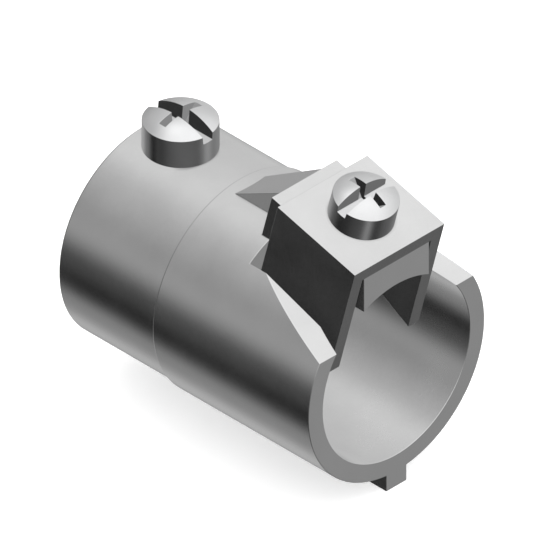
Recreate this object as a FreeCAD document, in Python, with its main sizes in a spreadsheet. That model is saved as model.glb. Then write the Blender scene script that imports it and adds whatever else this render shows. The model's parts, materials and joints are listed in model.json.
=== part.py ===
"""Conduit adapter: a die-cast coupling from threadless rigid conduit to flexible metal conduit.

The frame's origin is on the axis at the face that the rigid conduit bottoms on, with +X towards
the flexible conduit's end and +Z up through both screws. All lengths are in millimetres and all
angles in degrees.
"""
import FreeCAD, Part
import Sketcher
import os

# Driving dimensions, each with what it measures
SIZES = {
    "flex_length": (25.4, "outer length of the flexible conduit's barrel"),
    "flex_depth": (22.4, "depth of the flexible conduit's socket"),
    "flex_land_diameter": (23.6, "straight land at the bottom of that socket"),
    "flex_draft": (0.15, "how far its mouth opens all round"),
    "flex_wall": (2.35, "barrel's wall at that mouth"),
    "stop_thickness": (2.4, "ring between the two sockets"),
    "throat_diameter": (15.9, "wire way through that ring"),
    "throat_round": (0.8, "rounding of the throat's edges"),
    "tube_depth": (16.5, "depth of the rigid conduit's socket"),
    "tube_land_diameter": (21.6, "straight land at the bottom of that socket"),
    "tube_draft": (0.15, "how far its mouth opens all round"),
    "tube_wall": (3.15, "barrel's wall at that land"),
    "tube_end_chamfer": (0.45, "chamfer round the barrel's end"),
    "land_setback": (0.4, "land's distance from the window or screw hole before it"),
    "set_screw_inset": (6.2, "set screw's axis from the barrel's end"),
    "screw_diameter": (4.83, "outside of both screws' threads"),
    "screw_clearance": (0.05, "radial gap round each shank"),
    "head_seat_gap": (0.02, "gap between the set screw's head and the barrel's crown"),
    "saddle_tilt": (15.0, "saddle screw's lean towards the flexible conduit"),
    "seat_inset": (6.22, "saddle screw's axis from the end face, along X at the seat"),
    "boss_rise": (1.08, "boss top above the barrel at the end face"),
    "boss_width": (10.6, "width of the boss under the saddle"),
    "boss_ledge": (2.5, "boss top left bare behind the saddle, along X"),
    "side_cut_height": (7.0, "height of the barrel's cut edge at the end face"),
    "side_cut_slope": (19.6, "rise of that cut towards the rear"),
    "leg_clearance": (1.2, "gap between a leg and the window's side"),
    "leg_end_clearance": (0.32, "gap between a leg and the window's rear wall"),
    "ramp_margin": (1.6, "ramp's toe from the barrel's rear edge"),
    "ramp_drop": (0.35, "ramp's crest below the boss's rear edge"),
    "ramp_base_width": (4.94, "ramp's width on the barrel"),
    "ramp_flare": (12.0, "how far each side of the ramp leans out"),
    "tab_width": (3.3, "width of the tab under the end face"),
    "tab_drop": (2.08, "tab's reach below the barrel"),
    "tab_length": (4.0, "length of the tab"),
    "saddle_length": (13.0, "saddle's length along its seat"),
    "saddle_clearance": (0.3, "gap between a leg and the boss"),
    "leg_thickness": (1.7, "thickness of the saddle's legs"),
    "leg_depth": (14.5, "reach of a leg's tip below the seat"),
    "leg_slope": (14.0, "slope of a leg's lower edge"),
    "plate_thickness": (1.85, "thickness of the saddle's plate"),
    "saddle_hole_gap": (0.08, "radial gap round the screw in the plate"),
    "set_screw_head": (9.0, "set screw's head diameter"),
    "set_screw_side": (3.68, "height of its head's side"),
    "set_screw_dome": (1.26, "rise of its dome"),
    "set_screw_length": (6.35, "its length below the head"),
    "saddle_screw_head": (7.9, "saddle screw's head diameter"),
    "saddle_screw_side": (3.2, "height of its head's side"),
    "saddle_screw_dome": (1.2, "rise of its dome"),
    "saddle_screw_length": (12.7, "its length below the head"),
    "slot_width": (1.42, "width of the set screw's long slot at its floor"),
    "slot_draft": (5.5, "lean of the long slot's walls"),
    "slot_depth": (0.92, "long slot's depth at the rim"),
    "wing_width": (1.05, "width of the set screw's short cross slot"),
    "wing_floor": (2.05, "length of the cross slot at its floor"),
    "wing_slope": (42.0, "lean of the cross slot's ends"),
    "wing_depth": (1.5, "cross slot's depth below the rim"),
    "tip_chamfer": (0.6, "chamfer at each screw's tip"),
    "overrun": (1.0, "how far a cut runs past what it cuts"),
}

# Places worked out from the driving dimensions, along X and Z
TILT = "sizes.saddle_tilt"
FACE_X = "(sizes.stop_thickness + sizes.flex_depth)"
STEP_X = f"({FACE_X} - sizes.flex_length)"
FLEX_LAND = "(sizes.flex_land_diameter / 2)"
FLEX_MOUTH = f"({FLEX_LAND} + sizes.flex_draft)"
FLEX_OUTER = f"({FLEX_MOUTH} + sizes.flex_wall)"
TUBE_LAND = "(sizes.tube_land_diameter / 2)"
TUBE_OUTER = f"({TUBE_LAND} + sizes.tube_wall)"
SCREW_HOLE = "(sizes.screw_diameter / 2 + sizes.screw_clearance)"
SET_SCREW_X = "(sizes.set_screw_inset - sizes.tube_depth)"
TUBE_LAND_X = f"({SET_SCREW_X} + {SCREW_HOLE} + sizes.land_setback)"

SEAT_X = f"({FACE_X} - sizes.seat_inset)"
BOSS_FRONT_Z = f"({FLEX_OUTER} + sizes.boss_rise)"
SEAT_Z = f"({BOSS_FRONT_Z} + sizes.seat_inset * tan({TILT}))"
LEG_INNER = "(sizes.boss_width / 2 + sizes.saddle_clearance)"
LEG_OUTER = f"({LEG_INNER} + sizes.leg_thickness)"
PLATE_HALF = "(sizes.saddle_length / 2)"

# The window round the boss clears the legs, down to where their outer sides enter the bore
WINDOW_SIDE = f"({LEG_OUTER} + sizes.leg_clearance)"
WALL_LOW_Z = f"sqrt({FLEX_LAND}^2 - {LEG_OUTER}^2)"
LEG_DRIFT = f"(({SEAT_Z} + {PLATE_HALF} * sin({TILT}) - {WALL_LOW_Z}) * tan({TILT}))"
WINDOW_X = f"({SEAT_X} - {PLATE_HALF} * cos({TILT}) - {LEG_DRIFT} - sizes.leg_end_clearance)"
FLEX_LAND_X = f"({WINDOW_X} - sizes.land_setback)"

BOSS_REAR_X = f"({SEAT_X} - {PLATE_HALF} * cos({TILT}) - sizes.boss_ledge)"
BOSS_REAR_Z = f"({SEAT_Z} + ({SEAT_X} - {BOSS_REAR_X}) * tan({TILT}))"
BOSS_FOOT_Z = f"({FLEX_LAND} / 2)"
BOSS_FOOT_X = f"({BOSS_REAR_X} - ({BOSS_REAR_Z} - {BOSS_FOOT_Z}) * tan({TILT}))"

RAMP_X = f"({STEP_X} + sizes.ramp_margin)"
RAMP_Z = f"sqrt({FLEX_OUTER}^2 - (sizes.ramp_base_width / 2)^2)"
CREST_X = f"({BOSS_REAR_X} - sizes.ramp_drop * tan({TILT}))"
CREST_Z = f"({BOSS_REAR_Z} - sizes.ramp_drop)"


def new_sheet(doc):
    """The spreadsheet of driving dimensions: a name, a number with its alias, and a meaning."""
    sheet = doc.addObject("Spreadsheet::Sheet", "sizes")
    for row, (alias, (number, meaning)) in enumerate(SIZES.items(), start=1):
        sheet.set(f"A{row}", alias)
        sheet.set(f"B{row}", str(number))
        sheet.setAlias(f"B{row}", alias)
        sheet.set(f"C{row}", meaning)
    doc.recompute()
    return sheet


def new_body(doc, label):
    body = doc.addObject("PartDesign::Body", label)
    body.Label = label
    return body


def value(body, expression):
    """What an expression on the sheet comes to now."""
    return float(body.evalExpression(expression))


def origin_plane(body, role):
    return next(f for f in body.Origin.OriginFeatures if f.Role == role)


def new_sketch(body, name, role, height="0"):
    """A sketch on one of the body's own origin planes, raised along the plane's normal."""
    sketch = body.newObject("Sketcher::SketchObject", name)
    sketch.AttachmentSupport = [(origin_plane(body, role), "")]
    sketch.MapMode = "FlatFace"
    if height != "0":
        sketch.setExpression("AttachmentOffset.Base.z", height)
    return sketch


def pin_down(sketch, line, across, up):
    """Fixes the start of a line by its distances from the sketch's origin."""
    for kind, axis, expression in (("DistanceX", -2, across), ("DistanceY", -1, up)):
        if expression == "0":
            sketch.addConstraint(Sketcher.Constraint("PointOnObject", line, 1, axis))
            continue
        number = value(sketch, expression)
        index = sketch.addConstraint(Sketcher.Constraint(kind, -1, 1, line, 1, number))
        sketch.setExpression(f"Constraints[{index}]", expression)


def draw_outline(sketch, points):
    """A closed outline of straight lines through points, each a pair of expressions."""
    places = [FreeCAD.Vector(value(sketch, a), value(sketch, b), 0) for a, b in points]
    ends = places[1:] + places[:1]
    for start, end in zip(places, ends):
        sketch.addGeometry(Part.LineSegment(start, end))
    count = len(points)
    for line in range(count):
        sketch.addConstraint(Sketcher.Constraint("Coincident", line, 2, (line + 1) % count, 1))
    for line, (across, up) in enumerate(points):
        pin_down(sketch, line, across, up)


def draw_circle(sketch, radius, across="0"):
    """A circle on the sketch's horizontal axis."""
    centre = FreeCAD.Vector(value(sketch, across), 0, 0)
    circle = Part.Circle(centre, FreeCAD.Vector(0, 0, 1), value(sketch, radius))
    sketch.addGeometry(circle)
    index = sketch.addConstraint(Sketcher.Constraint("Radius", 0, circle.Radius))
    sketch.setExpression(f"Constraints[{index}]", radius)
    if across == "0":
        sketch.addConstraint(Sketcher.Constraint("Coincident", 0, 3, -1, 1))
        return
    sketch.addConstraint(Sketcher.Constraint("PointOnObject", 0, 3, -1))
    index = sketch.addConstraint(Sketcher.Constraint("DistanceX", -1, 1, 0, 3, centre.x))
    sketch.setExpression(f"Constraints[{index}]", across)


def new_feature(body, kind, name, sketch, **settings):
    feature = body.newObject(f"PartDesign::{kind}", name)
    feature.Profile = sketch
    for key, setting in settings.items():
        setattr(feature, key, setting)
    return feature


def pad_across(body, name, points, width, role="XZ_Plane"):
    """Adds an outline drawn on a middle plane, as thick as width."""
    sketch = new_sketch(body, f"{name}_outline", role)
    draw_outline(sketch, points)
    pad = new_feature(body, "Pad", name, sketch, SideType="Symmetric")
    pad.setExpression("Length", width)


def cut_across(body, name, points, width, role="XZ_Plane"):
    """Cuts an outline drawn on a middle plane, as wide as width."""
    sketch = new_sketch(body, f"{name}_outline", role)
    draw_outline(sketch, points)
    pocket = new_feature(body, "Pocket", name, sketch, SideType="Symmetric")
    pocket.setExpression("Length", width)


def revolve(body, kind, name, points):
    """Turns an outline on the XZ plane round the X axis, as a Revolution or a Groove."""
    sketch = new_sketch(body, f"{name}_profile", "XZ_Plane")
    draw_outline(sketch, points)
    axis = (sketch, ["H_Axis"])
    new_feature(body, kind, name, sketch, ReferenceAxis=axis, Angle=360.0)


def add_barrels(body):
    """The two barrels' outside, as one solid bar with its step."""
    far_x = "(-sizes.tube_depth)"
    chamfer = "sizes.tube_end_chamfer"
    revolve(body, "Revolution", "barrels", [
        (far_x, "0"),
        (far_x, f"{TUBE_OUTER} - {chamfer}"),
        (f"{far_x} + {chamfer}", TUBE_OUTER),
        (STEP_X, TUBE_OUTER),
        (STEP_X, FLEX_OUTER),
        (FACE_X, FLEX_OUTER),
        (FACE_X, "0"),
    ])


def cut_window(body):
    """The opening round the boss, and the sloping cut of the barrel on either side of it."""
    high_z = f"({FLEX_OUTER} + sizes.overrun)"
    past_x = f"({FACE_X} + sizes.overrun)"
    cut_across(body, "window", [
        (WINDOW_X, "0"),
        (past_x, "0"),
        (past_x, high_z),
        (WINDOW_X, high_z),
    ], f"2 * {WINDOW_SIDE}")
    slope = "tan(sizes.side_cut_slope)"
    low_z = f"(sizes.side_cut_height - sizes.overrun * {slope})"
    rear_z = f"(sizes.side_cut_height + ({FACE_X} - {WINDOW_X}) * {slope})"
    cut_across(body, "side_cuts", [
        (WINDOW_X, rear_z),
        (past_x, low_z),
        (past_x, high_z),
        (WINDOW_X, high_z),
    ], f"2 * ({FLEX_OUTER} + sizes.overrun)")


def add_ramp(body):
    """The gusset behind the boss: a dovetailed rib with its top cut to a slope."""
    low = f"({RAMP_Z} - sizes.flex_wall / 2)"
    half = "(sizes.ramp_base_width / 2)"
    low_half = f"({half} - ({RAMP_Z} - {low}) * tan(sizes.ramp_flare))"
    top_half = f"({half} + ({BOSS_REAR_Z} - {RAMP_Z}) * tan(sizes.ramp_flare))"
    sketch = new_sketch(body, "ramp_section", "YZ_Plane", RAMP_X)
    draw_outline(sketch, [
        (f"-{low_half}", low),
        (low_half, low),
        (top_half, BOSS_REAR_Z),
        (f"-{top_half}", BOSS_REAR_Z),
    ])
    rib = new_feature(body, "Pad", "ramp", sketch)
    rib.setExpression("Length", f"{BOSS_REAR_X} - {RAMP_X}")
    before_x = f"({RAMP_X} - sizes.overrun)"
    run = f"({CREST_X} - {RAMP_X})"
    rise = f"({CREST_Z} - {RAMP_Z})"
    cut_across(body, "ramp_slope", [
        (before_x, f"{RAMP_Z} - sizes.overrun * {rise} / {run}"),
        (BOSS_REAR_X, f"{RAMP_Z} + {rise} * ({BOSS_REAR_X} - {RAMP_X}) / {run}"),
        (BOSS_REAR_X, f"{BOSS_REAR_Z} + sizes.overrun"),
        (before_x, f"{BOSS_REAR_Z} + sizes.overrun"),
    ], f"4 * {top_half}")


def add_boss(body):
    """The block that the saddle seats on, reaching forward from the window's rear wall."""
    pad_across(body, "boss", [
        (BOSS_FOOT_X, BOSS_FOOT_Z),
        (FACE_X, BOSS_FOOT_Z),
        (FACE_X, BOSS_FRONT_Z),
        (BOSS_REAR_X, BOSS_REAR_Z),
    ], "sizes.boss_width")


def add_tab(body):
    """The small locating tab under the end face."""
    low = f"(-({FLEX_OUTER} + sizes.tab_drop))"
    high = f"(-({FLEX_OUTER} + {FLEX_LAND}) / 2)"
    rear_x = f"({FACE_X} - sizes.tab_length)"
    pad_across(body, "tab", [
        (rear_x, low),
        (FACE_X, low),
        (FACE_X, high),
        (rear_x, high),
    ], "sizes.tab_width")


def cut_sockets(body):
    """Both sockets and the throat between them, with the cores' draft in the mouths."""
    far_x = "(-sizes.tube_depth)"
    revolve(body, "Groove", "sockets", [
        (far_x, "0"),
        (far_x, f"{TUBE_LAND} + sizes.tube_draft"),
        (TUBE_LAND_X, TUBE_LAND),
        ("0", TUBE_LAND),
        ("0", "sizes.throat_diameter / 2"),
        ("sizes.stop_thickness", "sizes.throat_diameter / 2"),
        ("sizes.stop_thickness", FLEX_LAND),
        (FLEX_LAND_X, FLEX_LAND),
        (FACE_X, FLEX_MOUTH),
        (FACE_X, "0"),
    ])


def cut_screw_holes(body):
    """The set screw's hole through the barrel's top, and the saddle screw's through the boss."""
    upright = new_sketch(body, "set_screw_hole_outline", "XY_Plane")
    draw_circle(upright, SCREW_HOLE, SET_SCREW_X)
    hole = new_feature(body, "Pocket", "set_screw_hole", upright, Reversed=True)
    hole.setExpression("Length", f"{TUBE_OUTER} + sizes.overrun")

    leaning = new_sketch(body, "saddle_screw_hole_outline", "XY_Plane")
    lean = FreeCAD.Rotation(FreeCAD.Vector(0, 1, 0), value(body, TILT))
    leaning.AttachmentOffset = FreeCAD.Placement(FreeCAD.Vector(), lean)
    leaning.setExpression("AttachmentOffset.Rotation.Angle", TILT)
    leaning.setExpression("AttachmentOffset.Base.x", f"{SEAT_X} - {SEAT_Z} * tan({TILT})")
    draw_circle(leaning, SCREW_HOLE)
    hole = new_feature(body, "Pocket", "saddle_screw_hole", leaning, Reversed=True)
    hole.setExpression("Length", f"{SEAT_Z} / cos({TILT}) + sizes.overrun")


def edges_where(shape, test):
    """Names of the edges whose middle point and ends pass a test."""
    names = []
    for number, edge in enumerate(shape.Edges, start=1):
        middle = edge.valueAt((edge.FirstParameter + edge.LastParameter) / 2)
        if test(edge, middle):
            names.append(f"Edge{number}")
    return names


def round_throat(body):
    """Rounds both edges of the throat, so that no wire is cut on them."""
    throat = value(body, "sizes.throat_diameter / 2")

    def on_throat(edge, middle):
        return abs(FreeCAD.Vector(0, middle.y, middle.z).Length - throat) < 1e-6

    names = edges_where(body.Tip.Shape, on_throat)
    fillet = body.newObject("PartDesign::Fillet", "throat_edges")
    fillet.Base = (fillet.BaseFeature, names)
    fillet.setExpression("Radius", "sizes.throat_round")


def build_coupling(doc):
    body = new_body(doc, "coupling_body")
    add_barrels(body)
    cut_window(body)
    add_ramp(body)
    add_boss(body)
    add_tab(body)
    cut_sockets(body)
    cut_screw_holes(body)
    doc.recompute()
    round_throat(body)


def build_saddle(doc):
    """The inverted U that straddles the boss, drawn about the screw's axis on its seat."""
    body = new_body(doc, "saddle")
    foot = "(-sizes.leg_depth)"
    rear_foot = f"({foot} + sizes.saddle_length * tan(sizes.leg_slope))"
    pad_across(body, "strap", [
        (f"-{LEG_OUTER}", foot),
        (f"-{LEG_INNER}", foot),
        (f"-{LEG_INNER}", "0"),
        (LEG_INNER, "0"),
        (LEG_INNER, foot),
        (LEG_OUTER, foot),
        (LEG_OUTER, "sizes.plate_thickness"),
        (f"-{LEG_OUTER}", "sizes.plate_thickness"),
    ], "sizes.saddle_length", "YZ_Plane")
    cut_across(body, "leg_ends", [
        (PLATE_HALF, foot),
        (f"-{PLATE_HALF}", rear_foot),
        (f"-{PLATE_HALF} - sizes.overrun", f"{foot} - sizes.overrun"),
        (PLATE_HALF, f"{foot} - sizes.overrun"),
    ], f"2 * {LEG_OUTER} + sizes.overrun")
    sketch = new_sketch(body, "screw_hole_outline", "XY_Plane")
    draw_circle(sketch, "sizes.screw_diameter / 2 + sizes.saddle_hole_gap")
    hole = new_feature(body, "Pocket", "screw_hole", sketch, Reversed=True)
    hole.setExpression("Length", "sizes.plate_thickness + sizes.overrun")
    lean_on_axis(body, "0")


def lean_on_axis(body, rise):
    """Stands a piece on the saddle screw's axis, a rise above the boss's top."""
    lean = FreeCAD.Rotation(FreeCAD.Vector(0, 1, 0), value(body, TILT))
    body.Placement = FreeCAD.Placement(FreeCAD.Vector(), lean)
    body.setExpression("Placement.Rotation.Angle", TILT)
    body.setExpression("Placement.Base.x", f"{SEAT_X} + {rise} * sin({TILT})")
    body.setExpression("Placement.Base.z", f"{SEAT_Z} + {rise} * cos({TILT})")


def draw_screw_profile(sketch, head, side, dome, length):
    """Half a screw's section: chamfered tip, shank, flat underside, side and domed top."""
    radius = "(sizes.screw_diameter / 2)"
    head_radius = f"({head} / 2)"
    top = f"({side} + {dome})"
    points = [
        ("0", f"-{length}"),
        (f"{radius} - sizes.tip_chamfer", f"-{length}"),
        (radius, f"-{length} + sizes.tip_chamfer"),
        (radius, "0"),
        (head_radius, "0"),
        (head_radius, side),
    ]
    places = [FreeCAD.Vector(value(sketch, a), value(sketch, b), 0) for a, b in points]
    for start, end in zip(places, places[1:]):
        sketch.addGeometry(Part.LineSegment(start, end))
    last = len(points) - 1
    crown = FreeCAD.Vector(0, value(sketch, top), 0)
    reach = value(sketch, head_radius)
    rise = value(sketch, dome)
    ball = (reach * reach + rise * rise) / (2 * rise)
    centre = FreeCAD.Vector(0, crown.y - ball, 0)
    lean = FreeCAD.Vector(reach, crown.y - rise - centre.y, 0)
    middle = centre + (lean.normalize() + FreeCAD.Vector(0, 1, 0)).normalize() * ball
    sketch.addGeometry(Part.Arc(places[last], middle, crown))
    sketch.addGeometry(Part.LineSegment(crown, places[0]))
    for line in range(last - 1):
        sketch.addConstraint(Sketcher.Constraint("Coincident", line, 2, line + 1, 1))
    # An arc's own ends run anticlockwise, from the rim to the crown
    sketch.addConstraint(Sketcher.Constraint("Coincident", last - 1, 2, last, 1))
    sketch.addConstraint(Sketcher.Constraint("Coincident", last, 2, last + 1, 1))
    sketch.addConstraint(Sketcher.Constraint("Coincident", last + 1, 2, 0, 1))
    sketch.addConstraint(Sketcher.Constraint("PointOnObject", last, 3, -2))
    for line, (across, up) in enumerate(points[:-1]):
        pin_down(sketch, line, across, up)
    pin_down(sketch, last, head_radius, side)
    pin_down(sketch, last + 1, "0", top)


def build_screw(doc, name, slot_plane):
    """A domed screw with a long slot square to slot_plane, crossed by a short recess."""
    head, side, dome, length = (f"sizes.{name}_{part}" for part in ("head", "side", "dome", "length"))
    body = new_body(doc, name)
    profile = new_sketch(body, "profile", "XZ_Plane")
    draw_screw_profile(profile, head, side, dome, length)
    new_feature(body, "Revolution", "turned", profile, ReferenceAxis=(profile, ["V_Axis"]), Angle=360.0)
    # Both heads' recesses are alike, in proportion to the heads, and widen up to above the dome
    above = f"({side} + {dome} + sizes.overrun)"
    share = f"({head} / sizes.set_screw_head)"
    floor = f"({side} - sizes.slot_depth * {share})"
    half = f"(sizes.slot_width * {share} / 2)"
    wide = f"({half} + ({above} - {floor}) * tan(sizes.slot_draft))"
    cut_across(body, "long_slot", [
        (f"-{half}", floor),
        (half, floor),
        (wide, above),
        (f"-{wide}", above),
    ], f"{head} + sizes.overrun", slot_plane)
    deep = f"({side} - sizes.wing_depth * {share})"
    half = f"(sizes.wing_floor * {share} / 2)"
    wide = f"({half} + ({above} - {deep}) * tan(sizes.wing_slope))"
    cut_across(body, "cross_slot", [
        (f"-{half}", deep),
        (half, deep),
        (wide, above),
        (f"-{wide}", above),
    ], f"sizes.wing_width * {share}", slot_plane)
    return body


def build_screws(doc):
    """The set screw over the rigid conduit, and the screw that draws the saddle down."""
    body = build_screw(doc, "set_screw", "YZ_Plane")
    body.setExpression("Placement.Base.x", SET_SCREW_X)
    body.setExpression("Placement.Base.z", f"{TUBE_OUTER} + sizes.head_seat_gap")
    body = build_screw(doc, "saddle_screw", "XZ_Plane")
    lean_on_axis(body, "sizes.plate_thickness")


def check(doc):
    """Stops if any object failed to build, or a piece isn't one sound solid."""
    for item in doc.Objects:
        if "Invalid" in item.State or "Error" in item.State:
            raise RuntimeError(f"{item.Name} failed: {item.State}")
    for body in bodies(doc):
        shape = body.Shape
        if shape.isNull() or not shape.isValid() or len(shape.Solids) != 1:
            raise RuntimeError(f"{body.Label} is not one sound solid")
        print(body.Label, round(shape.Volume, 2), shape.BoundBox)


def bodies(doc):
    return [item for item in doc.Objects if item.TypeId == "PartDesign::Body"]


def main():
    doc = FreeCAD.newDocument("conduit_adapter")
    new_sheet(doc)
    build_coupling(doc)
    build_saddle(doc)
    build_screws(doc)
    doc.recompute()
    check(doc)
    os.makedirs("parts", exist_ok=True)
    for body in bodies(doc):
        body.Shape.exportStep(f"parts/{body.Label}.step")


main()
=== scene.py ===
"""Dresses the conduit adapter: a softened zinc casting and saddle, and two plated, threaded screws."""

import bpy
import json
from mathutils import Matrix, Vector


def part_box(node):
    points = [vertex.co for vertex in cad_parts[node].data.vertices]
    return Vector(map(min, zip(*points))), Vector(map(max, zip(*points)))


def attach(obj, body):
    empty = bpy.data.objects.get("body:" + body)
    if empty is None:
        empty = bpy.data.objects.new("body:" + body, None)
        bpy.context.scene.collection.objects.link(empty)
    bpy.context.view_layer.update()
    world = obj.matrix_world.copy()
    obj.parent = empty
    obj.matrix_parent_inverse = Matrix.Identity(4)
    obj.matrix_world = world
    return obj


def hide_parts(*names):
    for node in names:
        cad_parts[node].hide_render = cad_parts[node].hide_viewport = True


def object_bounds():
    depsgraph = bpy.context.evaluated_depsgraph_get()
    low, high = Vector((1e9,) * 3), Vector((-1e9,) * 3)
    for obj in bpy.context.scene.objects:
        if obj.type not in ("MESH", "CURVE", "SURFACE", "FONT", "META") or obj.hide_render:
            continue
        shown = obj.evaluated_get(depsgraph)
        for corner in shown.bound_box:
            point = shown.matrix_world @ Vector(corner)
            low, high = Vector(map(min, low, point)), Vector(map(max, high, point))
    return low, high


bl_info = {
    "name": "Conduit adapter",
    "version": (1, 0, 0),
    "blender": (4, 5, 0),
    "location": "View3D > Sidebar > Conduit",
    "description": "Adds the casting, saddle, screws and studio of a conduit adapter",
    "category": "Add Mesh",
}

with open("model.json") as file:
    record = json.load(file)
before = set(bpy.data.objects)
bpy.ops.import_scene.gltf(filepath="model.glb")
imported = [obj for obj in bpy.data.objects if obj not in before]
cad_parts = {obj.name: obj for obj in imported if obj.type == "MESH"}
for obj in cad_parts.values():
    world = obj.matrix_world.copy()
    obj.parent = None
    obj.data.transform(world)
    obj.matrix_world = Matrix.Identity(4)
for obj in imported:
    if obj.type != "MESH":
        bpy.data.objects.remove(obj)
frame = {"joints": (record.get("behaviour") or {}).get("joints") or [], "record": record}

import json
import math

import bmesh
import bpy
from bpy.props import FloatProperty, FloatVectorProperty, PointerProperty
from mathutils import Matrix, Vector

CAD_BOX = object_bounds()
MM = 0.001

MOUNTS = {mount["name"]: mount["dims"] for mount in frame["record"]["mounts"]}
JOINTS = {joint["name"]: joint for joint in frame["joints"]}
SADDLE_AXIS = Vector(JOINTS["saddle_screw_turn"]["axis"]).normalized()
SEAT = Vector(JOINTS["saddle_screw_turn"]["pos_m"])
TILT = math.atan2(SADDLE_AXIS.x, SADDLE_AXIS.z)
BODY_LOW, BODY_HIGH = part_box("coupling_body")
SET_SCREW_LOW, SET_SCREW_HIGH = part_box("set_screw")
SET_SCREW_X = (SET_SCREW_LOW.x + SET_SCREW_HIGH.x) / 2
TUBE_LAND = MOUNTS["tube_socket"]["r_mm"] * MM
TUBE_LAND_LENGTH = MOUNTS["tube_socket"]["length_mm"] * MM
FLEX_LAND = MOUNTS["flex_socket"]["r_mm"] * MM
FLEX_LAND_LENGTH = MOUNTS["flex_socket"]["length_mm"] * MM

# How far cutters reach past the metal that they cut, and unfinished ends past their place
PAST = 1.0 * MM
# How closely an edge is looked for by its place
NEAR = 0.1 * MM

# Sides and steps of what is round
BARREL_SIDES = 192
HOLE_SIDES = 64
HEAD_SIDES = 88
TIP_SIDES = 96
FLOOR_SIDES = 96
THREAD_STEPS = 40
DOME_RINGS = 7
THROAT_STEPS = 6

# The studio's soft glows: the way to each, how tight it is, and its strength
GLOWS = (
    ((0.67, 0.08, 0.74), 1.8, 1.05),
    ((0.07, -0.81, 0.58), 5.5, 0.97),
    ((-0.41, 0.47, 0.78), 1.3, 0.87),
    ((-0.67, 0.16, -0.73), 14.3, 0.64),
    ((0.35, -0.22, -0.91), 81.0, 0.50),
    ((-0.04, 0.99, -0.13), 3.5, 0.46),
    ((-0.65, -0.29, -0.70), 90.0, 0.42),
    ((-0.59, -0.80, 0.09), 33.3, 0.42),
    ((0.61, 0.53, -0.59), 24.0, 0.32),
    ((-0.31, 0.07, 0.95), 26.4, 0.35),
    ((-0.41, -0.82, -0.39), 90.0, 0.30),
    ((-0.54, 0.79, -0.27), 31.2, 0.24),
    ((0.78, -0.62, -0.08), 1.4, 0.18),
)


def number(name, description, default, **more):
    return FloatProperty(name=name, description=description, default=default, **more)


def length(name, description, default):
    return number(name, description, default, unit="LENGTH", min=0.0, precision=5)


def angle(name, description, degrees):
    return number(name, description, math.radians(degrees), subtype="ANGLE")


def share(name, description, default):
    return number(name, description, default, subtype="FACTOR", min=0.0, max=1.0)


def colour(name, description, default):
    return FloatVectorProperty(
        name=name, description=description, default=default, size=3, subtype="COLOR", min=0.0, max=1.0
    )


class CastingSettings(bpy.types.PropertyGroup):
    """Sizes of the casting and its finish."""

    stop: length("Stop", "Thickness of the ring between the sockets", 2.4 * MM)
    throat: length("Throat", "Radius of the wire way through that ring", 7.95 * MM)
    throat_round: length("Throat rounding", "Rounding of the throat's edges", 0.8 * MM)
    draft: length("Draft", "How far each socket's mouth opens all round", 0.15 * MM)
    step: length("Step", "The step between the barrels lies this far behind the stop", 0.6 * MM)
    tube_wall: length("Tube wall", "Wall of the rigid conduit's barrel", 3.15 * MM)
    end_chamfer: length("End chamfer", "Chamfer round the rigid conduit's barrel", 0.45 * MM)
    window: length("Window", "Place of the window's rear wall", 9.4475 * MM)
    window_half: length("Window half", "Half of the window's width", 8.5 * MM)
    side_cut: length("Side cut", "Height of the barrel's cut edge at the end face", 7.0 * MM)
    side_slope: angle("Side slope", "Rise of that cut towards the rear", 19.6)
    boss_front: length("Boss front", "Height of the boss at the end face", 15.38 * MM)
    boss_half: length("Boss half", "Half of the boss's width", 5.3 * MM)
    ledge: length("Ledge", "Boss top left bare behind the saddle", 2.5 * MM)
    ramp_margin: length("Ramp margin", "Ramp's toe from the barrel's rear edge", 1.6 * MM)
    ramp_drop: length("Ramp drop", "Ramp's crest below the boss's rear edge", 0.35 * MM)
    ramp_half: length("Ramp half", "Half of the ramp's width on the barrel", 2.47 * MM)
    ramp_sink: length("Ramp sink", "How deep the ramp is let into the barrel", 1.175 * MM)
    ramp_flare: angle("Ramp flare", "How far each side of the ramp leans out", 12.0)
    tab_half: length("Tab half", "Half of the tab's width", 1.65 * MM)
    tab_length: length("Tab length", "Length of the tab under the end face", 4.0 * MM)
    hole: length("Screw hole", "Radius of both screw holes", 2.465 * MM)
    soft: length("Soft edge", "Rounding left on most of the casting's edges", 0.07 * MM)
    crisp: length("Crisp edge", "Rounding left on its low steps and thin edges", 0.05 * MM)
    shoulder: length("Shoulder", "Rounding of the step between the barrels", 0.20 * MM)
    tint: colour("Zinc", "Colour of the tumbled zinc", (0.62, 0.62, 0.62))
    skin: colour("Cast skin", "Colour of the dull skin that tumbling doesn't reach", (0.60, 0.60, 0.60))
    roughness: share("Roughness", "Roughness of the tumbled zinc", 0.24)
    # Strength of the shade painted into the zinc's corners and close gaps
    painted_shade: share("Painted shade", "How much the film in corners darkens the zinc", 0.55)


class SaddleSettings(bpy.types.PropertyGroup):
    """Sizes of the saddle."""

    length: length("Length", "Saddle's length along its seat", 13.0 * MM)
    inner: length("Inner", "Half of the gap between the legs", 5.6 * MM)
    leg: length("Leg", "Thickness of the legs", 1.7 * MM)
    plate: length("Plate", "Thickness of the plate", 1.85 * MM)
    depth: length("Depth", "Reach of a leg's tip below the seat", 14.5 * MM)
    slope: angle("Slope", "Slope of a leg's lower edge", 14.0)
    hole: length("Hole", "Radius of the hole in the plate", 2.495 * MM)
    soft: length("Soft edge", "Rounding left on the saddle's edges", 0.06 * MM)


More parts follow.
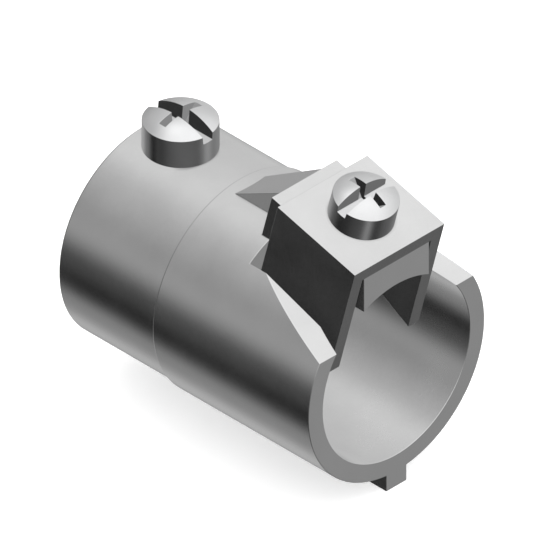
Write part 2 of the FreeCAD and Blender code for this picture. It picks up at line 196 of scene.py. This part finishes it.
class ScrewSettings(bpy.types.PropertyGroup):
    """Sizes of both screws and their finish."""

    set_head: length("Set screw head", "Radius of the set screw's head", 4.5 * MM)
    set_side: length("Set screw side", "Height of its head's side", 3.68 * MM)
    set_dome: length("Set screw dome", "Rise of its dome", 1.26 * MM)
    set_shank: length("Set screw shank", "Length below its head", 6.35 * MM)
    saddle_head: length("Saddle screw head", "Radius of the saddle screw's head", 3.95 * MM)
    saddle_side: length("Saddle screw side", "Height of its head's side", 3.2 * MM)
    saddle_dome: length("Saddle screw dome", "Rise of its dome", 1.2 * MM)
    saddle_shank: length("Saddle screw shank", "Length below its head", 12.7 * MM)
    crest: length("Crest", "Outside radius of the threads", 2.415 * MM)
    pitch: length("Pitch", "Thread's pitch", 25.4 / 24 * MM)
    tip_chamfer: length("Tip chamfer", "Chamfer at each tip", 0.6 * MM)
    slot_half: length("Slot half", "Half of the set screw's long slot's width at its floor", 0.71 * MM)
    slot_draft: angle("Slot draft", "Lean of the long slot's walls", 5.5)
    slot_depth: length("Slot depth", "Long slot's depth at the rim", 0.92 * MM)
    wing_half: length("Wing half", "Half of the cross slot's width", 0.525 * MM)
    wing_floor: length("Wing floor", "Half of the cross slot's length at its floor", 1.025 * MM)
    wing_slope: angle("Wing slope", "Lean of the cross slot's ends", 42.0)
    wing_depth: length("Wing depth", "Cross slot's depth below the rim", 1.5 * MM)
    soft: length("Soft edge", "Rounding left on the heads' edges", 0.03 * MM)
    tint: colour("Plating", "Colour of the bright zinc plating", (0.62, 0.622, 0.626))
    roughness: share("Roughness", "Roughness of the plating", 0.21)
    # Strength of the shade painted into the plating's corners and close gaps
    painted_shade: share("Painted shade", "How much the film in corners darkens the plating", 0.40)


class StudioSettings(bpy.types.PropertyGroup):
    """The floor, light and camera."""

    scale: number("Scale", "Picture's pixels to a millimetre", 8.7, min=1.0)
    picture: number("Picture", "Pixels across the picture", 540.0, min=1.0)
    mouth_across: number("Mouth across", "Pixel of the end face's centre, from the left", 396.5)
    mouth_down: number("Mouth down", "Pixel of the end face's centre, from the top", 369.5)
    camera_back: length("Camera back", "How far the camera stands from the end face", 0.3)
    floor_radius: length("Floor radius", "Half of the floor's width", 3.0)
    wall_height: length("Wall height", "Height of the wall round the floor", 2.0)
    floor_curve: length("Floor curve", "How far the floor curves up to the wall", 0.8)
    floor_tint: colour("Floor", "Colour of the floor", (0.92, 0.92, 0.92))
    floor_glow: number("Floor glow", "Light that the floor gives of its own", 0.40, min=0.0)
    lamp: number("Lamp", "Power of the lamp overhead", 0.03, min=0.0, unit="POWER")
    lamp_height: length("Lamp height", "How high the lamp hangs", 0.5)
    lamp_width: length("Lamp width", "Width of the lamp", 0.4)


class Value:
    """A number on a socket, which takes part in Python's arithmetic by adding Math nodes."""

    def __init__(self, finish, socket):
        self.finish = finish
        self.socket = socket

    def _math(self, operation, *others):
        return self.finish.value("ShaderNodeMath", {"operation": operation}, dict(enumerate(others)))

    def __add__(self, other):
        return self._math("ADD", self, other)

    def __radd__(self, other):
        return self._math("ADD", other, self)

    def __sub__(self, other):
        return self._math("SUBTRACT", self, other)

    def __rsub__(self, other):
        return self._math("SUBTRACT", other, self)

    def __mul__(self, other):
        return self._math("MULTIPLY", self, other)

    def __rmul__(self, other):
        return self._math("MULTIPLY", other, self)

    def __truediv__(self, other):
        return self._math("DIVIDE", self, other)

    def __pow__(self, other):
        return self._math("POWER", self, other)

    def above(self, other):
        return self._math("MAXIMUM", self, other)

    def below(self, other):
        return self._math("MINIMUM", self, other)

    def clamped(self):
        """The number, kept between 0 and 1."""
        return self.above(0.0).below(1.0)

    def swing(self, reach):
        """A noise's swing to both sides of its middle, times a reach."""
        return (self - 0.5) * reach


class Finish:
    """A node tree, with one method that adds any node and short ways to the nodes that repeat."""

    def __init__(self, tree):
        self.tree = tree
        tree.nodes.clear()

    def node(self, kind, settings=None, sockets=None):
        """Adds a node, makes its settings first, then sets or links its sockets."""
        node = self.tree.nodes.new(kind)
        for key, setting in (settings or {}).items():
            setattr(node, key, setting)
        for key, item in (sockets or {}).items():
            if isinstance(item, Value):
                item = item.socket
            if isinstance(item, bpy.types.NodeSocket):
                self.tree.links.new(item, node.inputs[key])
            else:
                node.inputs[key].default_value = item
        return node

    def value(self, kind, settings=None, sockets=None, output=0):
        return Value(self, self.node(kind, settings, sockets).outputs[output])

    def mix(self, part, first, second):
        """Goes from one colour to another as a part goes from 0 to 1."""
        return self.node("ShaderNodeMix", {"data_type": "RGBA"}, {0: part, 6: first, 7: second}).outputs[2]

    def noise(self, place, scale, **sockets):
        return self.value("ShaderNodeTexNoise", None, {"Vector": place, "Scale": scale, **sockets})

    def relief(self, height, strength):
        """The normal of a surface with shallow relief."""
        sockets = {"Strength": strength, "Distance": 0.02 * MM, "Height": height}
        return self.node("ShaderNodeBump", None, sockets).outputs[0]

    def show(self, kind, sockets, output="ShaderNodeOutputMaterial"):
        """Adds a shader and the output that it goes to."""
        shader = self.node(kind, None, sockets)
        self.node(output, None, {"Surface": shader.outputs[0]})


def new_material(name):
    material = bpy.data.materials.new(name)
    material.use_nodes = True
    return material, Finish(material.node_tree)


def shade(factor, tint):
    """A tint made lighter or darker, as a colour socket takes it."""
    return (*(min(part * factor, 1.0) for part in tint), 1.0)


def painted_corner_shade(finish, base, reach, strength):
    """Paints shade into a colour: darkens it in corners and close gaps, where ambient occlusion finds little open
    sky.
    """
    # Places more open than this get no painted shade
    shade_free_openness = 0.85
    open_share = finish.node("ShaderNodeAmbientOcclusion", {"samples": 8}, {"Distance": reach}).outputs["AO"]
    # The painted shade: the less open a place is, the darker its colour is painted
    painted_shade = (shade_free_openness - Value(finish, open_share)).above(0.0) * (strength / shade_free_openness)
    return finish.mix(painted_shade, base, (0.0, 0.0, 0.0, 1.0))


def tumbled_zinc(name, size, bored):
    """Satin zinc with cloudy tones and fine tumbling marks, and a dull cast skin where it is bored."""
    material, finish = new_material(name)
    place = finish.node("ShaderNodeTexCoord").outputs["Object"]
    cloud = finish.noise(place, 170.0, Detail=3.0)
    marks = finish.noise(place, 2300.0, Detail=3.0, Roughness=0.6)
    tone = (cloud.swing(1.6) + marks.swing(0.5) + 0.5).clamped()
    base = finish.mix(tone, shade(0.95, size.tint), shade(1.05, size.tint))
    rough = marks.swing(0.06) + cloud.swing(0.06) + size.roughness
    if bored:
        # The skin fills both bores, fades out in the metal round them, and stops at the end faces
        x, y, z = (Value(finish, part) for part in finish.node("ShaderNodeSeparateXYZ", None, {0: place}).outputs)
        skin_reach, skin_fade, end_fade = FLEX_LAND + 0.35 * MM, 0.15 * MM, 0.1 * MM
        inside = ((skin_reach - (y * y + z * z) ** 0.5) / skin_fade).clamped()
        inside = inside * ((BODY_HIGH.x - x).below(x - BODY_LOW.x) / end_fade).clamped()
        skin = finish.mix(tone, shade(0.93, size.skin), shade(1.05, size.skin))
        base = finish.mix(inside, base, skin)
        rough = rough + inside * 0.02
    finish.show("ShaderNodeBsdfPrincipled", {
        # The zinc's base colour carries shade painted into its corners and close gaps
        "Base Color": painted_corner_shade(finish, base, 0.5 * MM, size.painted_shade),
        "Metallic": 1.0, "Roughness": rough, "Normal": finish.relief(marks, 0.16),
    })
    return material


def bright_plating(name, size):
    """Bright zinc plating, faintly clouded, with the fine marks of barrel plating."""
    material, finish = new_material(name)
    place = finish.node("ShaderNodeTexCoord").outputs["Object"]
    cloud = finish.noise(place, 420.0, Detail=3.0)
    marks = finish.noise(place, 3600.0, Detail=2.0)
    base = finish.mix(cloud, shade(0.95, size.tint), shade(1.06, size.tint))
    rough = cloud.swing(0.08) + marks.swing(0.04) + size.roughness
    finish.show("ShaderNodeBsdfPrincipled", {
        # The plating's base colour carries shade painted into its corners and close gaps
        "Base Color": painted_corner_shade(finish, base, 0.3 * MM, size.painted_shade),
        "Metallic": 1.0, "Roughness": rough, "Normal": finish.relief(marks, 0.06),
    })
    return material


def deselect():
    if bpy.context.mode != "OBJECT":
        bpy.ops.object.mode_set(mode="OBJECT")
    bpy.ops.object.select_all(action="DESELECT")


def activate(piece):
    deselect()
    piece.select_set(True)
    bpy.context.view_layer.objects.active = piece


def edit(kind="FACE"):
    bpy.ops.object.mode_set(mode="EDIT")
    bpy.ops.mesh.select_mode(type=kind)


def leave_edit():
    bpy.ops.object.mode_set(mode="OBJECT")


def select_whole():
    bpy.ops.mesh.select_all(action="SELECT")


def pick(kind, test):
    """In edit mode, selects just the verts, edges or faces that pass a test."""
    data = bpy.context.object.data
    mesh = bmesh.from_edit_mesh(data)
    bpy.ops.mesh.select_mode(type={"verts": "VERT", "edges": "EDGE", "faces": "FACE"}[kind])
    for item in (*mesh.verts, *mesh.edges, *mesh.faces):
        item.select = False
    chosen = [item for item in getattr(mesh, kind) if test(item)]
    for item in chosen:
        item.select_set(True)
    bmesh.update_edit_mesh(data)
    return len(chosen)


def shift(value):
    bpy.ops.transform.translate(value=value)


def widen(value, centre):
    bpy.ops.transform.resize(value=value, center_override=centre)


def face_outwards():
    select_whole()
    bpy.ops.mesh.normals_make_consistent(inside=False)


def settle(piece):
    """Moves a piece's place into its mesh, with its object at the origin."""
    activate(piece)
    bpy.ops.object.transform_apply(location=True, rotation=True, scale=True)


def turned_bar(name, stations, sides=BARREL_SIDES):
    """A closed bar turned round X, through stations of a place along X and a radius there."""
    deselect()
    (start, radius), *rest = stations
    bpy.ops.mesh.primitive_circle_add(
        vertices=sides, radius=radius, fill_type="NGON", location=(start, 0, 0), rotation=(0, math.pi / 2, 0)
    )
    piece = bpy.context.object
    piece.name = name
    edit()
    select_whole()
    for place, reach in rest:
        bpy.ops.mesh.extrude_region_move(TRANSFORM_OT_translate={"value": (place - start, 0, 0)})
        if abs(reach - radius) > 1e-9:
            widen((1, reach / radius, reach / radius), (place, 0, 0))
        start, radius = place, reach
    face_outwards()
    leave_edit()
    settle(piece)
    return piece


def bar(name, outline, half):
    """A bar across Y, whose ends have an outline given in X and Z."""
    deselect()
    bpy.ops.mesh.primitive_circle_add(
        vertices=len(outline), radius=MM, fill_type="NGON", location=(0, -half, 0), rotation=(math.pi / 2, 0, 0)
    )
    piece = bpy.context.object
    piece.name = name
    settle(piece)
    starts = [vertex.co.copy() for vertex in piece.data.vertices]
    edit("VERT")
    for index, (x, z) in enumerate(outline):
        pick("verts", lambda v: v.index == index)
        shift(Vector((x, -half, z)) - starts[index])
    edit()
    select_whole()
    bpy.ops.mesh.extrude_region_move(TRANSFORM_OT_translate={"value": (0, 2 * half, 0)})
    face_outwards()
    leave_edit()
    return piece


def box_outline(low_x, low_z, high_x, high_z):
    return [(low_x, low_z), (high_x, low_z), (high_x, high_z), (low_x, high_z)]


def stand(piece, foot=(0, 0, 0), tilt=0.0):
    """Stands a bar that was turned round X up on its foot, and tilts it towards +X."""
    upright = Matrix.Rotation(tilt, 4, "Y") @ Matrix.Rotation(-math.pi / 2, 4, "Y")
    piece.matrix_world = Matrix.Translation(foot) @ upright
    settle(piece)
    return piece


def lean(piece, rise):
    """Puts an upright piece on the saddle screw's axis, a rise above the boss's top."""
    piece.matrix_world = Matrix.Translation(SEAT + SADDLE_AXIS * rise) @ Matrix.Rotation(TILT, 4, "Y")
    settle(piece)


def combine(piece, tool, operation):
    """Joins a tool to a piece, cuts it out, or keeps what both fill."""
    activate(piece)
    bpy.ops.object.modifier_add(type="BOOLEAN")
    modifier = piece.modifiers[-1]
    modifier.operation = operation
    modifier.solver = "EXACT"
    modifier.object = tool
    bpy.ops.object.modifier_apply(modifier=modifier.name)
    bpy.data.objects.remove(tool)


def tidy(piece, gap=0.02 * MM):
    """Merges doubles and dissolves what a flat face doesn't need."""
    activate(piece)
    edit()
    select_whole()
    bpy.ops.mesh.remove_doubles(threshold=gap)
    bpy.ops.mesh.dissolve_limited(angle_limit=math.radians(0.2))
    leave_edit()


def split_hollow_faces(piece):
    """Splits each face whose outline turns inwards, so that it fills as it should."""
    activate(piece)
    edit()
    select_whole()
    bpy.ops.mesh.vert_connect_concave()
    leave_edit()


def soften(piece, radii, which=lambda edge: 0, sharpest=25.0, segments=3):
    """Rounds each edge that turns by more than an angle, by the one of the radii that it takes."""
    activate(piece)
    edit("EDGE")

    def turns(edge):
        return len(edge.link_faces) == 2 and edge.calc_face_angle() > math.radians(sharpest)

    for index, radius in enumerate(radii):
        if pick("edges", lambda edge: turns(edge) and which(edge) == index):
            bpy.ops.transform.edge_bevelweight(value=radius / max(radii))
    leave_edit()
    bpy.ops.object.modifier_add(type="BEVEL")
    modifier = piece.modifiers[-1]
    modifier.width = max(radii)
    modifier.segments = segments
    modifier.limit_method = "WEIGHT"
    modifier.face_strength_mode = "FSTR_ALL"
    modifier.use_clamp_overlap = False
    bpy.ops.object.modifier_apply(modifier=modifier.name)


def smooth(piece, sharpest=40.0):
    """Shades a piece smooth, with its flat faces kept flat."""
    activate(piece)
    bpy.ops.object.shade_smooth_by_angle(angle=math.radians(sharpest))
    bpy.ops.object.modifier_add(type="WEIGHTED_NORMAL")
    modifier = piece.modifiers[-1]
    modifier.mode = "CORNER_ANGLE"
    modifier.weight = 50
    modifier.keep_sharp = True
    modifier.use_face_influence = True
    bpy.ops.object.modifier_apply(modifier=modifier.name)


def finish_piece(piece, node, body, material):
    """Hands a finished piece to its body, in place of its plain node."""
    # The metal mirrors the studio's glows alone, as it does in the picture
    piece.visible_glossy = False
    piece.data.materials.clear()
    piece.data.materials.append(material)
    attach(piece, body)
    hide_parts(node)


class CONDUIT_OT_add_casting(bpy.types.Operator):
    """Adds the coupling's casting, with its sockets, window, boss, ramp and tab"""

    bl_idname = "conduit.add_casting"
    bl_label = "Add casting"

    def execute(self, context):
        size = context.scene.conduit_casting
        face = BODY_HIGH.x
        far = BODY_LOW.x
        flex_outer = BODY_HIGH.y
        tube_outer = TUBE_LAND + size.tube_wall
        piece = turned_bar("coupling_casting", [
            (far, tube_outer - size.end_chamfer),
            (far + size.end_chamfer, tube_outer),
            (-size.step, tube_outer),
            (-size.step, flex_outer),
            (face + PAST, flex_outer),
        ])
        # All that ends at the end face is made too long, and then cut there at once
        window = box_outline(size.window, 0, face + 2 * PAST, flex_outer + PAST)
        combine(piece, bar("window", window, size.window_half), "DIFFERENCE")
        slope = math.tan(size.side_slope)
        combine(piece, bar("side_cuts", [
            (size.window, size.side_cut + (face - size.window) * slope),
            (face + 2 * PAST, size.side_cut - 2 * PAST * slope),
            (face + 2 * PAST, flex_outer + PAST), (size.window, flex_outer + PAST),
        ], flex_outer + PAST), "DIFFERENCE")
        # The boss's top follows the saddle's tilt back to its rear edge
        rear = SEAT.x - context.scene.conduit_saddle.length / 2 * math.cos(TILT) - size.ledge
        rear_z = SEAT.z + (SEAT.x - rear) * math.tan(TILT)
        ramp_toe = size.ramp_margin - size.step
        combine(piece, self.ramp(size, ramp_toe, rear, rear_z, flex_outer), "UNION")
        foot_z = FLEX_LAND / 2
        foot = rear - (rear_z - foot_z) * math.tan(TILT)
        front_z = size.boss_front - PAST * math.tan(TILT)
        boss = [(foot, foot_z), (face + PAST, foot_z), (face + PAST, front_z), (rear, rear_z)]
        combine(piece, bar("boss", boss, size.boss_half), "UNION")
        tab = box_outline(face - size.tab_length, BODY_LOW.z, face + PAST, -foot_z)
        tab_root = math.sqrt(flex_outer ** 2 - size.tab_half ** 2)
        combine(piece, bar("tab", tab, size.tab_half), "UNION")
        end = box_outline(face, -2 * flex_outer, face + 2 * PAST, 2 * flex_outer)
        combine(piece, bar("end_cut", end, 2 * flex_outer), "DIFFERENCE")
        self.cut_sockets(piece, size, far, face)
        self.cut_holes(piece, size, tube_outer)
        tidy(piece)
        soft, crisp, shoulder = range(3)

        def which(edge):
            """The rounding that an edge takes, or none for the corners round the tab's root."""
            a, b = (vertex.co for vertex in edge.verts)
            front, out = max(a.x, b.x), min(a.yz.length, b.yz.length)
            if not edge.is_convex and max(a.z, b.z) < NEAR - tab_root:
                return None
            if max(abs(v.x + size.step) for v in (a, b)) < NEAR / 10:
                return shoulder if out > flex_outer - NEAR else crisp
            on_end = front < far + size.end_chamfer + NEAR / 2 and out > TUBE_LAND + PAST
            on_ramp = (
                ramp_toe - NEAR < min(a.x, b.x) and front < rear + NEAR
                and max(abs(a.y), abs(b.y)) < size.boss_half - 4 * NEAR
                and min(a.z, b.z) > flex_outer - 6 * NEAR
            )
            return crisp if on_end or on_ramp else soft

        soften(piece, (size.soft, size.crisp, size.shoulder), which)
        split_hollow_faces(piece)
        smooth(piece)
        finish_piece(piece, "coupling_body", "coupling", tumbled_zinc("tumbled_zinc_bored", size, True))
        return {"FINISHED"}

    def ramp(self, size, toe, rear, rear_z, flex_outer):
        """The rib that climbs the barrel to the boss, wider at its crest than on the barrel."""
        toe_z = math.sqrt(flex_outer ** 2 - size.ramp_half ** 2)
        crest = rear - size.ramp_drop * math.tan(TILT)
        rise = (rear_z - size.ramp_drop - toe_z) / (crest - toe)
        low, top = toe_z - size.ramp_sink, toe_z + rise * (rear - toe)
        rib = bar("ramp", [(toe, low), (rear, low), (rear, top), (toe, toe_z)], size.ramp_half)
        activate(rib)
        edit("VERT")
        for z in (low, top):
            pick("verts", lambda v: abs(v.co.z - z) < 1e-6)
            half = size.ramp_half + (z - toe_z) * math.tan(size.ramp_flare)
            widen((1, half / size.ramp_half, 1), (0, 0, 0))
        leave_edit()
        return rib

    def cut_sockets(self, piece, size, far, face):
        """Cuts both sockets and the rounded throat between them as one long core."""
        flex_land = size.stop + FLEX_LAND_LENGTH
        tube_open = size.draft * (1 + PAST / (-TUBE_LAND_LENGTH - far))
        flex_open = size.draft * (1 + PAST / (face - flex_land))
        bend = size.throat_round
        wide = size.throat + bend
        turns = [step * math.pi / 2 / THROAT_STEPS for step in range(THROAT_STEPS + 1)]
        combine(piece, turned_bar("sockets", [
            (far - PAST, TUBE_LAND + tube_open), (-TUBE_LAND_LENGTH, TUBE_LAND), (0.0, TUBE_LAND),
            *((bend * (1 - math.cos(turn)), wide - bend * math.sin(turn)) for turn in turns),
            *((size.stop - bend * (1 - math.sin(turn)), wide - bend * math.cos(turn)) for turn in turns),
            (size.stop, FLEX_LAND), (flex_land, FLEX_LAND), (face + PAST, FLEX_LAND + flex_open),
        ]), "DIFFERENCE")

    def cut_holes(self, piece, size, tube_outer):
        """Cuts the set screw's upright hole and the saddle screw's leaning one."""
        hole = turned_bar("hole", [(0, size.hole), (tube_outer + PAST, size.hole)], HOLE_SIDES)
        combine(piece, stand(hole, (SET_SCREW_X, 0, 0)), "DIFFERENCE")
        foot = SEAT - SADDLE_AXIS * SEAT.z / SADDLE_AXIS.z
        hole = turned_bar("hole", [(0, size.hole), ((SEAT - foot).length + PAST, size.hole)], HOLE_SIDES)
        combine(piece, stand(hole, foot, TILT), "DIFFERENCE")


class CONDUIT_OT_add_saddle(bpy.types.Operator):
    """Adds the saddle that straddles the boss"""

    bl_idname = "conduit.add_saddle"
    bl_label = "Add saddle"

    def execute(self, context):
        size = context.scene.conduit_saddle
        half = size.length / 2
        rise = size.length * math.tan(size.slope)
        piece = bar("saddle_strap", [
            (-half, -size.depth + rise), (half, -size.depth), (half, size.plate), (-half, size.plate),
        ], size.inner + size.leg)
        gap = box_outline(-half - PAST, -size.depth - PAST, half + PAST, 0)
        combine(piece, bar("gap", gap, size.inner), "DIFFERENCE")
        hole = turned_bar("hole", [(-PAST, size.hole), (size.plate + PAST, size.hole)], HOLE_SIDES)
        combine(piece, stand(hole), "DIFFERENCE")
        tidy(piece)
        soften(piece, (size.soft,))
        split_hollow_faces(piece)
        lean(piece, 0.0)
        smooth(piece)
        zinc = tumbled_zinc("tumbled_zinc", context.scene.conduit_casting, False)
        finish_piece(piece, "saddle", "saddle", zinc)
        return {"FINISHED"}


class CONDUIT_OT_add_screws(bpy.types.Operator):
    """Adds the set screw and the saddle's screw, with their slots and threads"""

    bl_idname = "conduit.add_screws"
    bl_label = "Add screws"

    def execute(self, context):
        size = context.scene.conduit_screws
        plating = bright_plating("bright_plating", size)
        screw = self.screw("set_screw_threaded", size, size.set_head, size.set_side, size.set_dome, size.set_shank)
        place = Matrix.Translation((SET_SCREW_X, 0, SET_SCREW_LOW.z + size.set_shank))
        screw.matrix_world = place @ Matrix.Rotation(math.pi / 2, 4, "Z")
        settle(screw)
        smooth(screw)
        finish_piece(screw, "set_screw", "set_screw", plating)
        screw = self.screw(
            "saddle_screw_threaded", size, size.saddle_head, size.saddle_side, size.saddle_dome, size.saddle_shank
        )
        lean(screw, context.scene.conduit_saddle.plate)
        smooth(screw)
        finish_piece(screw, "saddle_screw", "saddle_screw", plating)
        return {"FINISHED"}

    def screw(self, name, size, reach, side, dome, shank):
        """A screw along Z with its head's underside at zero and its long slot along Y."""
        ball = (reach ** 2 + dome ** 2) / (2 * dome)
        steep = math.asin(reach / ball)
        domed = [steep * ring / DOME_RINGS for ring in range(DOME_RINGS - 1, 0, -1)]
        head = stand(turned_bar(name, [
            (0.0, reach), (side, reach),
            *((side + dome - ball * (1 - math.cos(turn)), ball * math.sin(turn)) for turn in domed),
        ], HEAD_SIDES))
        # Both heads' recesses are alike, in proportion to the heads, and widen up to above the dome
        part = reach / size.set_head
        above = side + dome + PAST

        def recess(name, half, depth, flare, reach_out):
            floor = side - depth * part
            wide = half * part + (above - floor) * math.tan(flare)
            outline = [(-half * part, floor), (half * part, floor), (wide, above), (-wide, above)]
            combine(head, bar(name, outline, reach_out), "DIFFERENCE")

        recess("slot", size.slot_half, size.slot_depth, size.slot_draft, reach + PAST)
        recess("wing", size.wing_floor, size.wing_depth, size.wing_slope, size.wing_half * part)
        tidy(head, 0.005 * MM)
        split_hollow_faces(head)
        soften(head, (size.soft,), sharpest=35.0)
        combine(head, self.threaded_shank(size, shank), "UNION")
        return head

    def threaded_shank(self, size, shank):
        """A threaded shank below zero, with a chamfered tip and its top inside the head."""
        pitch = size.pitch
        # A standard thread: 0.5413 of its pitch deep, with a root a quarter of the pitch wide,
        # flanks at 60 degrees, and a crest of an eighth
        root = size.crest - 0.5413 * pitch
        depth = size.crest - root
        flank = (1 - 1 / 4 - 1 / 8) / 2 * pitch
        merge, top = 0.01 * MM, 0.4 * MM
        deselect()
        bpy.ops.mesh.primitive_plane_add(size=MM, location=(0, 0, 0))
        piece = bpy.context.object
        piece.name = "shank"
        edit("VERT")
        select_whole()
        bpy.ops.mesh.merge(type="CENTER")
        shift((root, 0, -shank - pitch))
        for across, up in ((0, pitch / 8), (depth, flank), (0, pitch / 8), (-depth, flank), (0, pitch / 8)):
            bpy.ops.mesh.extrude_region_move(TRANSFORM_OT_translate={"value": (across, 0, up)})
        leave_edit()
        bpy.ops.object.modifier_add(type="SCREW")
        modifier = piece.modifiers[-1]
        modifier.axis = "Z"
        modifier.angle = 2 * math.pi
        modifier.screw_offset = pitch
        modifier.iterations = math.ceil(shank / pitch) + 2
        modifier.steps = modifier.render_steps = THREAD_STEPS
        modifier.use_merge_vertices = True
        modifier.merge_threshold = merge
        bpy.ops.object.modifier_apply(modifier=modifier.name)
        edit("VERT")
        select_whole()
        bpy.ops.mesh.remove_doubles(threshold=merge)
        for end, way in ((top, 1), (-shank, -1)):
            select_whole()
            bpy.ops.mesh.bisect(
                plane_co=(0, 0, end), plane_no=(0, 0, way), use_fill=True, clear_outer=True, threshold=merge / 100
            )
        face_outwards()
        leave_edit()
        full = size.crest + PAST
        tip = size.crest - size.tip_chamfer
        envelope = turned_bar("envelope", [
            (-shank - PAST, tip - PAST), (-shank + size.tip_chamfer + PAST, full), (PAST, full),
        ], TIP_SIDES)
        combine(piece, stand(envelope), "INTERSECT")
        return piece


class CONDUIT_OT_add_stage(bpy.types.Operator):
    """Adds the floor, the lights, the sky and the camera"""

    bl_idname = "conduit.add_stage"
    bl_label = "Add stage"

    def execute(self, context):
        size = context.scene.conduit_studio
        context.scene.view_settings.view_transform = "Standard"
        self.add_floor(size)
        self.add_sky(context.scene)
        self.add_lamp(size)
        self.add_camera(context.scene, size)
        return {"FINISHED"}

    def add_floor(self, size):
        """A wide pale floor that curves up to a wall all round."""
        ground = CAD_BOX[0].z
        middle = ground + size.wall_height / 2
        deselect()
        bpy.ops.mesh.primitive_cylinder_add(
            vertices=FLOOR_SIDES, radius=size.floor_radius, depth=size.wall_height, location=(0, 0, middle)
        )
        floor = bpy.context.object
        floor.name = "floor"
        settle(floor)
        edit()
        pick("faces", lambda f: f.normal.z > 0.9)
        bpy.ops.mesh.delete(type="FACE")
        pick("edges", lambda e: all(v.co.z < middle for v in e.verts))
        bpy.ops.mesh.bevel(offset=size.floor_curve, segments=12)
        select_whole()
        bpy.ops.mesh.flip_normals()
        leave_edit()
        bpy.ops.object.shade_smooth()
        floor.visible_glossy = False
        floor.visible_shadow = False
        material, finish = new_material("pale_paint")
        finish.show("ShaderNodeBsdfPrincipled", {
            "Base Color": (*size.floor_tint, 1.0), "Roughness": 0.9, "Specular IOR Level": 0.1,
            "Emission Color": (1.0, 1.0, 1.0, 1.0), "Emission Strength": size.floor_glow,
        })
        floor.data.materials.append(material)

    def add_sky(self, scene):
        """The studio's soft light, as broad glows round the object."""
        world = bpy.data.worlds.new("studio_glows")
        world.use_nodes = True
        scene.world = world
        finish = Finish(world.node_tree)
        way = finish.node("ShaderNodeTexCoord").outputs["Generated"]
        light = 0.0
        for to, tight, strength in GLOWS:
            towards = finish.value("ShaderNodeVectorMath", {"operation": "DOT_PRODUCT"}, {0: way, 1: to}, 1)
            light = towards.above(0.0) ** tight * strength + light
        # Plain white behind the object, where a low view looks past the floor
        light = light.above(finish.value("ShaderNodeLightPath"))
        grey = finish.node("ShaderNodeCombineXYZ", None, {0: light, 1: light, 2: light}).outputs[0]
        finish.show("ShaderNodeBackground", {"Color": grey}, "ShaderNodeOutputWorld")

    def add_lamp(self, size):
        """A wide soft lamp overhead."""
        bpy.ops.object.light_add(type="AREA", location=(0, 0, size.lamp_height))
        lamp = bpy.context.object
        lamp.name = "overhead_lamp"
        lamp.data.energy = size.lamp
        lamp.data.shape = "DISK"
        lamp.data.size = size.lamp_width

    def add_camera(self, scene, size):
        """A camera for the isometric view, framed as the picture is."""
        bpy.ops.object.camera_add()
        camera = bpy.context.object
        camera.name = "isometric_camera"
        camera.data.type = "ORTHO"
        camera.data.ortho_scale = size.picture / size.scale * MM
        back = Vector((1, -1, 1)).normalized()
        right = Vector((1, 1, 0)).normalized()
        up = Vector((-1, 1, 2)).normalized()
        across = (size.picture / 2 - size.mouth_across) / size.scale * MM
        rise = (size.mouth_down - size.picture / 2) / size.scale * MM
        camera.location = Vector((BODY_HIGH.x, 0, 0)) + right * across + up * rise + back * size.camera_back
        camera.rotation_euler = back.to_track_quat("Z", "Y").to_euler()
        camera.data.clip_start = 0.01
        camera.data.clip_end = 10.0
        scene.camera = camera


class CONDUIT_PT_adapter(bpy.types.Panel):
    """Lists what can be added"""

    bl_label = "Conduit adapter"
    bl_idname = "CONDUIT_PT_adapter"
    bl_space_type = "VIEW_3D"
    bl_region_type = "UI"
    bl_category = "Conduit"

    def draw(self, context):
        for operator in OPERATORS:
            self.layout.operator(operator.bl_idname)


GROUPS = {
    "conduit_casting": CastingSettings,
    "conduit_saddle": SaddleSettings,
    "conduit_screws": ScrewSettings,
    "conduit_studio": StudioSettings,
}
OPERATORS = (CONDUIT_OT_add_casting, CONDUIT_OT_add_saddle, CONDUIT_OT_add_screws, CONDUIT_OT_add_stage)


def register():
    for kind in (*GROUPS.values(), *OPERATORS, CONDUIT_PT_adapter):
        bpy.utils.register_class(kind)
    for name, group in GROUPS.items():
        setattr(bpy.types.Scene, name, PointerProperty(type=group))


def unregister():
    for name in GROUPS:
        delattr(bpy.types.Scene, name)
    for kind in reversed((*GROUPS.values(), *OPERATORS, CONDUIT_PT_adapter)):
        bpy.utils.unregister_class(kind)


def main():
    register()
    bpy.ops.conduit.add_casting()
    bpy.ops.conduit.add_saddle()
    bpy.ops.conduit.add_screws()
    bpy.ops.conduit.add_stage()


if __name__ == "__main__":
    main()
